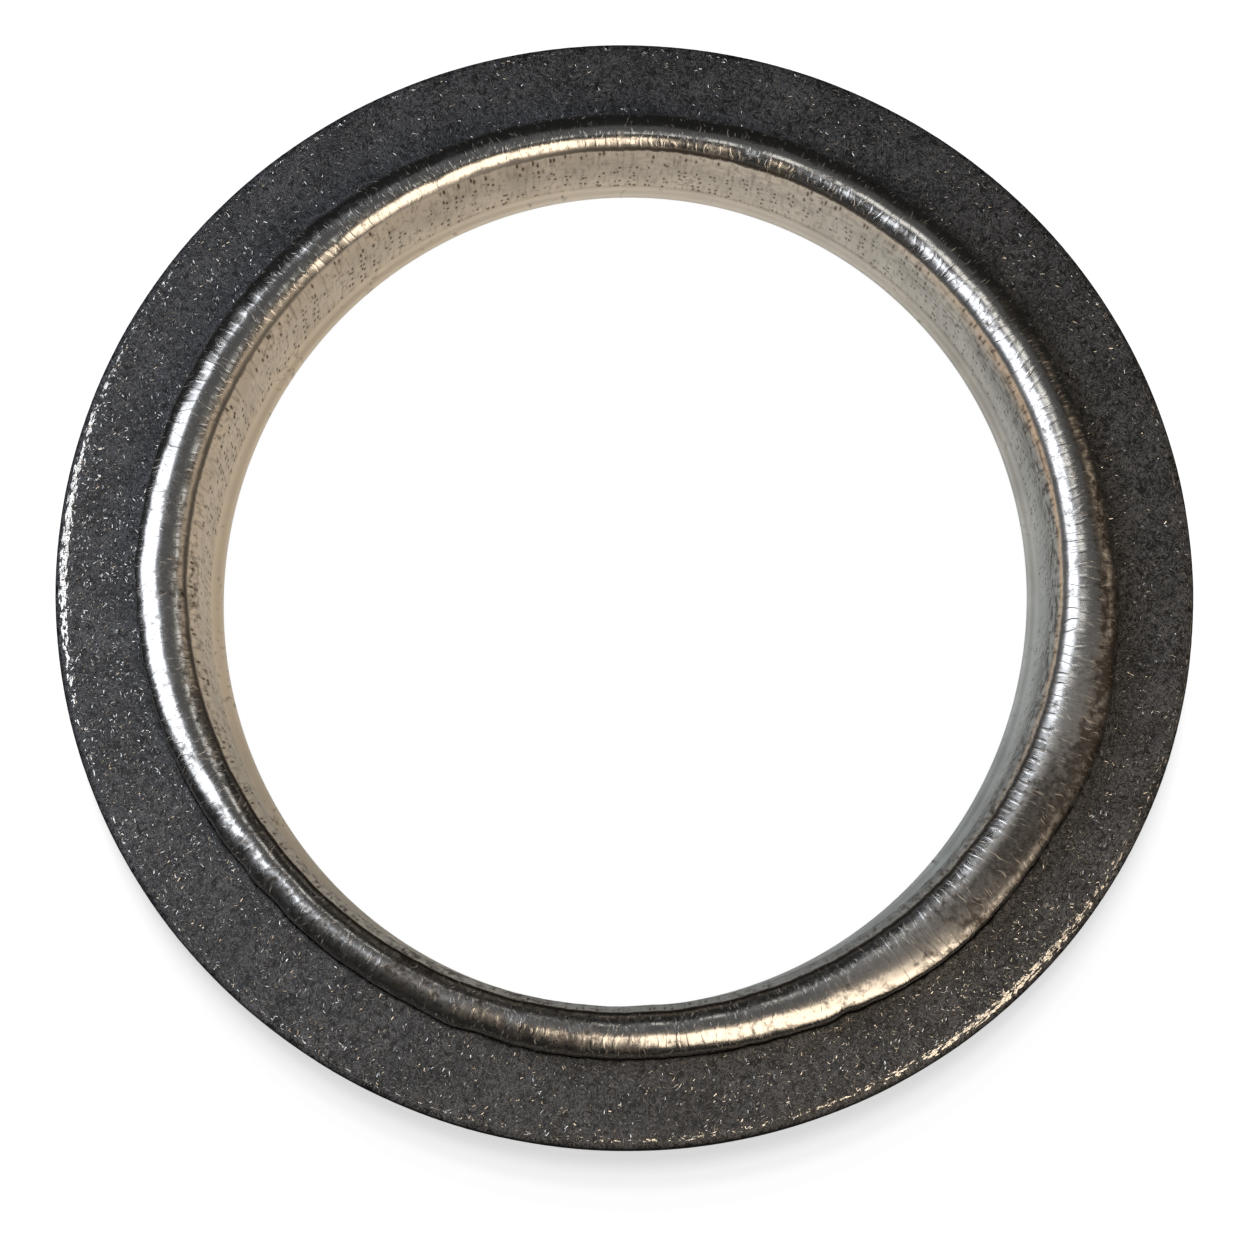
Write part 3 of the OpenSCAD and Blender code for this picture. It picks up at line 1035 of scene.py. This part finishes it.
@dataclass
class InnerSleeve:
    """The sheet sleeve: a rolled bead with a bitten-in edge, a wall and a turned-in lip.

    Attributes:
        sizes: the ring's sizes.
        rolled: how the bead wanders.
        flanks: radius of the bead's flank on the packing side where it is round and where it is
            flat, in mm.
        brows_deg: slope, from the level, at which a tighter round takes either flank down.
        flattened: share of the flat form, round the ring.
        lip_bend: radius of the bend from the wall to the lip, in mm.
        ribs: height of the small ribs across the bead, in mm.
        wale: width of a wale of the knit that printed through the wall, in mm.
        loops: number of loops that show on the bead above the wall.
        oval: how much the lip, the wall's foot and the bead's inner side are out of round, in mm.
        oval_z: the heights of those three, in mm.
        oval_deg: where it is widest.
        dents: slow unevenness of the bead.
        soot_out: share of soot on the bead's packing side, round the ring.
        soot_in: share of soot on its bore side, round the ring.
        charred_and_shaded: share of matt charring over the bead's crest, round the ring, partly painted
            shade that stands in for a dark reflection there.
        warm_lit_share: share of the painted yellowish light on the wall, round the ring; the rest has
            the painted bluish-grey light.
        upper_wall_shade: how much painted shade darkens the wall's upper part, round the ring.
        lip_shade: how much painted shade darkens the lip, round the ring.
        seam: how dark the painted shade line is where the bead meets the wall, round the ring.
        smudged: how dark the smudges on the wall below it are, round the ring.
        tanned: share of the tan colour in a narrow band under that line, round the ring.
        tan_width: half width of that band in mm, round the ring.
        slant: how far the wales lean, round the ring.
        rippled: how strong the fine ripple across the bead is, round the ring.
    """

    sizes: RingSizes
    rolled: RolledEdge
    flanks: tuple[float, float] = (1.30, 2.20)
    brows_deg: tuple[float, float] = (55.0, 31.0)
    flattened: AllRound = AllRound(0.2, (Kink(52.0, 30.0, 0.8), Kink(178.0, 26.0, 0.75)))
    lip_bend: float = 0.2
    ribs: float = 0.011
    wale: float = 0.88
    loops: int = 116
    oval: tuple[float, float, float] = (0.40, 0.28, 0.15)
    oval_z: tuple[float, float, float] = (0.2, 0.9, 5.3)
    oval_deg: float = 98.0
    dents: Ripple = field(default_factory=lambda: Ripple(7, 0.014, (6, 60), 6.0, 40))
    soot_out: AllRound = AllRound(0.20, (Kink(16.0, 34.0, 0.62), Kink(122.0, 26.0, 0.40),
                                         Kink(305.0, 30.0, 0.10), Kink(180.0, 20.0, -0.20)))
    soot_in: AllRound = AllRound(0.10, (Kink(40.0, 24.0, 0.30), Kink(112.0, 36.0, 0.40),
                                        Kink(300.0, 24.0, 0.08), Kink(178.0, 24.0, 0.22)))
    charred_and_shaded: AllRound = AllRound(0.0, (Kink(36.0, 19.0, 0.95),))
    warm_lit_share: AllRound = AllRound(0.0, (Kink(222.0, 100.0, 1.15), Kink(0.0, 40.0, -0.1)))
    upper_wall_shade: AllRound = AllRound(0.0, (Kink(50.0, 55.0, 0.95), Kink(178.0, 20.0, -0.3),
                                      Kink(254.0, 32.0, 0.55), Kink(338.0, 16.0, 0.65)))
    lip_shade: AllRound = AllRound(0.2, (Kink(312.0, 45.0, 0.8), Kink(190.0, 35.0, -0.5),
                                          Kink(0.0, 20.0, -0.5)))
    seam: AllRound = AllRound(1.0, (Kink(234.0, 24.0, -0.90), Kink(342.0, 36.0, -0.50),
                                    Kink(180.0, 26.0, -0.38)))
    smudged: AllRound = AllRound(0.05, (Kink(2.0, 48.0, 0.9), Kink(285.0, 40.0, 0.15)))
    tanned: AllRound = AllRound(0.0, (Kink(355.0, 40.0, 1.0),))
    tan_width: AllRound = AllRound(0.11, (Kink(328.0, 17.0, 0.32),))
    slant: AllRound = AllRound(0.03, (Kink(200.0, 35.0, 0.13), Kink(330.0, 30.0, -0.10)))
    rippled: AllRound = AllRound(0.50, (Kink(30.0, 55.0, 0.50),))

    def brow(self, flank: float, slope_deg: float) -> tuple[tuple[float, float], float]:
        """Give the centre and radius of the tight round between a flank and the outer leg."""
        s = self.sizes
        turn = math.radians(90.0 - slope_deg)
        radius = (s.bead_out - flank * math.cos(turn)) / (1.0 - math.cos(turn))
        reach = flank - radius
        return (s.crest + reach * math.cos(turn), s.crest_z - flank + reach * math.sin(turn)), radius

    def outline(self, flank: float, slope_deg: float) -> Outline:
        """Walk the section: outer leg, bead, wall, bend, lip, and back behind the sheet.

        Args:
            flank: radius of the bead's flank on the packing side, in mm.
            slope_deg: slope at which a tighter round takes it down.

        Returns:
            The outline, with the same number of points for any flank.
        """
        s = self.sizes
        half = s.sheet / 2.0
        mid_r, mid_z = s.bore - self.lip_bend, s.sheet + self.lip_bend
        low, leg = s.face_z - s.tuck, s.bead_outer - s.sheet
        (brow_r, brow_z), brow = self.brow(flank, slope_deg)
        behind = max(brow - s.sheet, 0.02)
        top, round_in = (s.crest, s.crest_z - flank), (s.crest, s.bead_in_z)
        over = 90.0 - slope_deg
        out = Outline()
        out.line((s.bead_outer, low), (s.bead_outer, brow_z), 4, Zone.BEAD)
        out.arc((brow_r, brow_z), brow, 0.0, over, 10, Zone.BEAD)
        out.arc(top, flank, over, 90.0, 13, Zone.BEAD)
        out.arc(round_in, s.bead_in, 90.0, 180.0, 22, Zone.BEAD)
        out.line((s.bore, s.bead_in_z), (s.bore, mid_z), 15, Zone.WALL)
        out.arc((mid_r, mid_z), self.lip_bend, 0.0, -90.0, 5, Zone.LIP)
        out.line((mid_r, s.sheet), (s.lip + half, s.sheet), 2, Zone.LIP)
        out.arc((s.lip + half, half), half, 90.0, 270.0, 6, Zone.LIP)
        out.line((s.lip + half, 0.0), (mid_r, 0.0), 1, Zone.HIDDEN)
        out.arc((mid_r, mid_z), mid_z, -90.0, 0.0, 3, Zone.HIDDEN)
        out.line((s.bore + s.sheet, mid_z), (s.bore + s.sheet, s.bead_in_z), 2, Zone.HIDDEN)
        out.arc(round_in, s.bead_in - s.sheet, 180.0, 90.0, 4, Zone.HIDDEN)
        out.arc(top, flank - s.sheet, 90.0, over, 3, Zone.HIDDEN)
        out.arc((brow_r, brow_z), behind, over, 0.0, 2, Zone.HIDDEN)
        out.line((leg, brow_z), (leg, low), 1, Zone.HIDDEN)
        out.line((leg, low), (s.bead_outer, low), 1, Zone.HIDDEN)
        return out

    def wales(self) -> int:
        """Give the number of wales round the ring."""
        return round(2.0 * math.pi * self.sizes.bore / self.wale)

    def bells(self, angle: np.ndarray, rng: np.random.Generator, count: int) -> np.ndarray:
        """Add up bell curves of drawn height and width at uneven steps round the ring.

        Args:
            angle: the columns' angles in radians.
            rng: the random draws.
            count: number of bell curves.

        Returns:
            Their sum at each angle, about -1 to 1.
        """
        step = 360.0 / count
        at = (np.arange(count) + rng.uniform(-0.35, 0.35, count)) * step
        tall = rng.uniform(-0.8, 1.0, count)
        wide = rng.uniform(0.22, 0.40, count) * step
        gap = angle_gap(angle, at[:, None]) / wide[:, None]
        return np.sum(tall[:, None] * np.exp(-gap ** 2), axis=0)

    def surface(self, angle: np.ndarray) -> tuple[np.ndarray, np.ndarray, np.ndarray, Outline]:
        """Work out the grid of the sleeve's surface.

        The section is carried round the axis, as a blend of the round and the flat form. On the
        bead, a bell-shaped rib over each wale and a slow dent lift the sheet along its own normal,
        a row of loops shows above the wall and the knit prints a cosine wave on it. Below the
        crest the sleeve is oval, by cos(2 (a - a0)) times a share that grows downwards.

        Args:
            angle: the columns' angles in radians.

        Returns:
            Radii, heights and run of the section in mm, and the outline.
        """
        s = self.sizes
        out, flat = (self.outline(f, b) for f, b in zip(self.flanks, self.brows_deg))
        r0, z0, run = out.arrays()
        flat_r, flat_z, _ = flat.arrays()
        zones = np.array([q.value for q in out.zones])
        slope_r, slope_z = np.gradient(r0), np.gradient(z0)
        size = np.hypot(slope_r, slope_z)
        normal_r, normal_z = (slope_z / size)[:, None], (-slope_r / size)[:, None]
        rng = np.random.default_rng(23)
        ribs, loops = (self.bells(angle, rng, n) for n in (self.wales(), self.loops))
        lifted = smooth_step(z0, s.face_z - 0.1, s.face_z + 0.5)[:, None]
        bead = (zones == Zone.BEAD.value)[:, None] * lifted
        wall = (zones == Zone.WALL.value)[:, None] * 1.0
        beat = np.cos(self.wales() * angle)
        from_wall = (run[:-1] - run[out.zones.index(Zone.WALL)])[:, None]
        row = np.exp(-(((from_wall + 1.85) / 0.24) ** 2))
        lift = (bead * (self.ribs * ribs + 0.022 * np.maximum(loops, 0.0) * row
                        + self.dents(angle, run[:-1, None])) + 0.006 * beat * wall)
        share = np.clip(self.flattened(angle), 0.0, 1.0)
        r = r0[:, None] + (flat_r - r0)[:, None] * share + normal_r * lift
        z = z0[:, None] + (flat_z - z0)[:, None] * share + normal_z * lift
        down = np.interp(z0, self.oval_z, self.oval) * (1.0 - smooth_step(r0, s.bore + 0.55, s.crest))
        r = r + down[:, None] * np.cos(2.0 * np.radians(angle_gap(angle, self.oval_deg)))
        r = r + self.rolled.shift(r0[:, None], z0[:, None], angle, s)
        return r, z, run, out

    def soot_and_crease_shade(self, angle: np.ndarray, run: np.ndarray, out: Outline) -> np.ndarray:
        """Say how sooty each grid point is: the two sides of the bead blend over its crest. Near the
        packing the outer leg is darkened as well, as painted shade in the crease.
        """
        wall_run = run[out.zones.index(Zone.WALL)]
        crest_run = wall_run - 0.5 * math.pi * self.sizes.bead_in
        u = (run[:-1] - crest_run)[:, None]
        inner = smooth_step(u, -0.5, 0.4)
        bead = (1.0 - inner) * self.soot_out(angle) + inner * self.soot_in(angle)
        # Painted shade: the bead's outer leg is darkened where it meets the packing.
        crease = 1.0 - smooth_step(run[:-1], 0.25, 0.75)[:, None]
        fade = 1.0 - smooth_step(run[:-1], wall_run - 0.4, wall_run)[:, None]
        return np.clip(np.maximum(bead, 0.7 * crease) * fade, 0.0, 1.0)

    def build(self, finish: RolledStainless) -> bpy.types.Object:
        """Make the piece, dress it and let it stand for its node.

        The pattern map has the arc round the bead's crest as its first axis and the run along the
        section as its second, both in mm. On the knit map the arc leans along the wales.

        Args:
            finish: the sleeve's finish.

        Returns:
            The piece.
        """
        angle = columns()
        r, z, run, out = self.surface(angle)
        bead_run = run[out.zones.index(Zone.WALL)]
        wall_run = run[out.zones.index(Zone.LIP)]
        length = 2.0 * math.pi * self.sizes.crest
        turn = self.sizes.crest * columns(1)[None, :]
        down = (run - bead_run)[:, None]
        lean = self.slant(columns(1)) * down
        maps = {"pattern_mm": np.stack(np.broadcast_arrays(turn, run[:, None]), 2),
                "knit_mm": np.stack(np.broadcast_arrays(turn + lean, down), 2)}
        # Painted light: where the wall takes the yellowish tint rather than the bluish-grey one.
        warm_lit_share = np.clip(self.warm_lit_share(angle), 0.0, 1.0)
        fold = bead_run - finish.fold_mm
        past = (run[:-1] - fold)[:, None]
        tan = np.exp(-(((past - 0.24) / self.tan_width(angle)) ** 2)) * self.tanned(angle)
        high = 1.0 - smooth_step(run[:-1], bead_run - 0.8, wall_run + 0.3)[:, None]
        upper = smooth_step(past, 0.15, 0.35) * (1.0 - smooth_step(past, 1.0, 3.4))
        low = smooth_step(run[:-1], wall_run - 0.5, wall_run)[:, None]
        over = (run[:-1] - bead_run + 0.5 * math.pi * self.sizes.bead_in)[:, None]
        # Charring over the crest, partly painted shade.
        charred_and_shaded = smooth_step(over, -1.05, -0.65) * (1.0 - smooth_step(over, 0.35, 0.85))
        # Painted shade on the wall's upper part and on the lip.
        painted_wall_shade = self.upper_wall_shade(angle) * high + self.lip_shade(angle) * low
        marks = {"soot_and_crease_shade": self.soot_and_crease_shade(angle, run, out), "warm_lit_share": warm_lit_share, "tan": tan, "painted_wall_shade": painted_wall_shade,
                 # seam holds the painted shade line at the fold.
                 "seam": np.clip(self.seam(angle), 0.0, 1.0),
                 "charred_and_shaded": charred_and_shaded * self.charred_and_shaded(angle),
                 "smudged": upper * self.smudged(angle), "rippled": self.rippled(angle)}
        piece = ring_mesh("sleeve_sheet", r, z, angle, maps, marks)
        piece.data.materials.append(finish.material(bead_run, wall_run, length / self.wales()))
        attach(piece, "root")
        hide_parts("inner_sleeve")
        return piece


@dataclass(frozen=True)
class SoftBox:
    """A soft rectangular light that looks at the ring.

    Attributes:
        name: the light's name.
        colour: its sRGB colour.
        azimuth_deg: where it stands, anticlockwise from the right.
        elevation_deg: its height above the floor as an angle.
        distance: distance from the ring in mm.
        size: width and height in mm.
        radiance: brightness of its surface.
    """

    name: str
    colour: str
    azimuth_deg: float
    elevation_deg: float
    distance: float
    size: tuple[float, float]
    radiance: float

    def build(self, lit: bpy.types.Collection) -> bpy.types.Object:
        """Make the light and let it light one collection only.

        Args:
            lit: the objects that it lights.

        Returns:
            The light.
        """
        data = bpy.data.lights.new(self.name, "AREA")
        data.shape = "RECTANGLE"
        data.size, data.size_y = self.size[0] * MM, self.size[1] * MM
        data.energy = self.radiance * math.pi * data.size * data.size_y
        data.color = linear(self.colour)[:3]
        light = bpy.data.objects.new(self.name, data)
        bpy.context.scene.collection.objects.link(light)
        toward = direction(self.azimuth_deg, self.elevation_deg)
        light.location = toward * self.distance * MM
        light.rotation_euler = toward.to_track_quat("Z", "Y").to_euler()
        light.light_linking.receiver_collection = lit
        light.visible_camera = False
        return light


@dataclass
class Studio:
    """A pale floor, soft boxes on the ring, a sky light on the floor, and the camera.

    Attributes:
        sizes: the ring's sizes.
        tilt_deg: how far the camera's place leans from straight above.
        pitch_deg: turn of the camera's aim past the ring's middle.
        yaw_deg: sideways turn of its aim.
        distance: from the middle of the packing's edge to the camera, in mm.
        lens_px: focal length in pixels of the picture.
        boxes: the soft boxes on the ring.
        sky_deg: heights of the narrow lights behind the ring that light the floor.
        sky_azimuth_deg: where they stand, anticlockwise from the right.
        sky_share: brightness of the floor that they give.
        sky_spread_deg: angle across each of them.
        glow: brightness of the floor without them.
        paper: share of light that the floor throws back.
    """

    sizes: RingSizes
    tilt_deg: float = 13.515
    pitch_deg: float = -0.990
    yaw_deg: float = 0.031
    distance: float = 160.0
    lens_px: float = 3005.2
    boxes: tuple[SoftBox, ...] = (
        SoftBox("cool_left", "#eef4ff", 173.0, 49.0, 130.0, (108.0, 90.0), 3.3),
        SoftBox("warm_front", "#ffebd3", -62.0, 45.0, 110.0, (82.0, 74.0), 3.4),
        SoftBox("brown_right", "#e6cfb4", 2.0, 30.0, 250.0, (220.0, 125.0), 0.88),
        SoftBox("grey_above", "#f2f3f6", 90.0, 77.0, 300.0, (300.0, 300.0), 0.12),
        SoftBox("white_back", "#f6f4f0", 62.0, 66.0, 49.0, (13.0, 13.0), 2.0),
    )
    sky_deg: tuple[float, ...] = (47.0, 63.0, 75.0, 82.0)
    sky_azimuth_deg: float = 97.0
    sky_share: float = 0.41
    sky_spread_deg: float = 10.0
    glow: float = 0.66
    paper: float = 0.8

    def camera(self) -> None:
        """Set up the camera at the picture's viewing angle."""
        tilt, aim = math.radians(self.tilt_deg), math.radians(self.tilt_deg + self.pitch_deg)
        yaw = math.radians(self.yaw_deg)
        data = bpy.data.cameras.new("picture_camera")
        data.sensor_width = 36.0
        data.lens = self.lens_px / PICTURE_PX * data.sensor_width
        data.clip_start = 1.0 * MM
        camera = bpy.data.objects.new("picture_camera", data)
        bpy.context.scene.collection.objects.link(camera)
        ahead = Vector((0.0, math.sin(aim), -math.cos(aim)))
        right = Vector((1.0, 0.0, 0.0))
        ahead, right = (ahead * math.cos(yaw) + right * math.sin(yaw),
                        right * math.cos(yaw) - ahead * math.sin(yaw))
        up = right.cross(ahead)
        camera.matrix_world = Matrix((right, up, -ahead)).transposed().to_4x4()
        back = Vector((0.0, -math.sin(tilt), math.cos(tilt))) * self.distance
        camera.location = (back + Vector((0.0, 0.0, self.sizes.face_z - self.sizes.edge))) * MM
        bpy.context.scene.camera = camera

    def floor(self) -> bpy.types.Object:
        """Make the pale floor: a wide disc with a round hole, and a disc in the hole.

        The inner disc glows evenly and lights the bore, as the paper does in the picture. On the
        outer one a part of the brightness comes from lights behind the ring, which leave a soft
        shadow in front of it.

        Returns:
            The outer disc.
        """
        count = 96
        turn = np.linspace(0.0, 2.0 * math.pi, count, endpoint=False)
        radii = np.array([self.sizes.bore + 0.2, 60.0, 300.0, 3000.0]) * MM
        points = np.stack([radii[:, None] * np.cos(turn), radii[:, None] * np.sin(turn),
                           np.zeros((len(radii), count))], 2).reshape(-1, 3)
        i, j = np.meshgrid(np.arange(len(radii) - 1), np.arange(count), indexing="ij")
        k = (j + 1) % count
        quads = np.stack([i * count + j, (i + 1) * count + j, (i + 1) * count + k, i * count + k], 2)
        made = []
        for name, faces, glow in (("floor", quads.reshape(-1, 4).tolist(), self.glow),
                                  ("floor_in_bore", [list(range(count))], 1.0)):
            piece = new_piece(name, points, faces)
            paper, tree, shader = new_material("paper_matt_white")
            shade = self.paper if glow < 1.0 else 0.0
            feed(tree, shader, {"Base Color": (shade, shade, shade, 1.0), "Roughness": 1.0,
                                "Specular IOR Level": 0.0, "Emission Strength": glow,
                                "Emission Color": (1.0, 1.0, 1.0, 1.0)})
            piece.data.materials.append(paper)
            piece.visible_glossy = False
            made.append(piece)
        return made[0]

    def build(self, pieces: list[bpy.types.Object]) -> None:
        """Make the floor, the lights, the surroundings and the camera.

        Args:
            pieces: the pieces that the soft boxes light.
        """
        scene = bpy.context.scene
        scene.view_settings.view_transform = "Standard"
        floor = self.floor()
        ring_lit = bpy.data.collections.new("lit_by_boxes")
        floor_lit = bpy.data.collections.new("lit_by_sky")
        for piece in pieces:
            ring_lit.objects.link(piece)
        floor_lit.objects.link(floor)
        for box in self.boxes:
            box.build(ring_lit)
        for height in self.sky_deg:
            sky = bpy.data.lights.new("sky_over_floor", "SUN")
            facing = math.sin(math.radians(height))
            sky.energy = self.sky_share * math.pi / (self.paper * len(self.sky_deg) * facing)
            sky.angle = math.radians(self.sky_spread_deg)
            light = bpy.data.objects.new("sky_over_floor", sky)
            scene.collection.objects.link(light)
            toward = direction(self.sky_azimuth_deg, height)
            light.rotation_euler = toward.to_track_quat("Z", "Y").to_euler()
            light.light_linking.receiver_collection = floor_lit
        world = bpy.data.worlds.new("studio_dark")
        scene.world = world
        world.use_nodes = True
        tree = world.node_tree
        seen = add(tree, "LightPath", out="Is Camera Ray")
        level = add(tree, "MapRange", {0: seen, 3: 0.02, 4: 1.0})
        feed(tree, tree.nodes["Background"], {"Strength": level, "Color": (1.0, 1.0, 1.0, 1.0)})
        self.camera()


def main() -> None:
    """Build the pieces and the studio in order and note the sizes."""
    logging.basicConfig(level=logging.INFO, format="%(message)s")
    sizes, rolled = RingSizes(), RolledEdge()
    packing = PackingRing(sizes, rolled)
    pieces = [
        packing.build(PressedGraphite()),
        WireEnds(packing).build(DrawnWire()),
        InnerSleeve(sizes, rolled).build(RolledStainless()),
    ]
    for piece in pieces:
        LOG.info("%s: %d faces", piece.name, len(piece.data.polygons))
    Studio(sizes).build(pieces)
    bpy.context.view_layer.update()


if __name__ == "__main__":
    main()
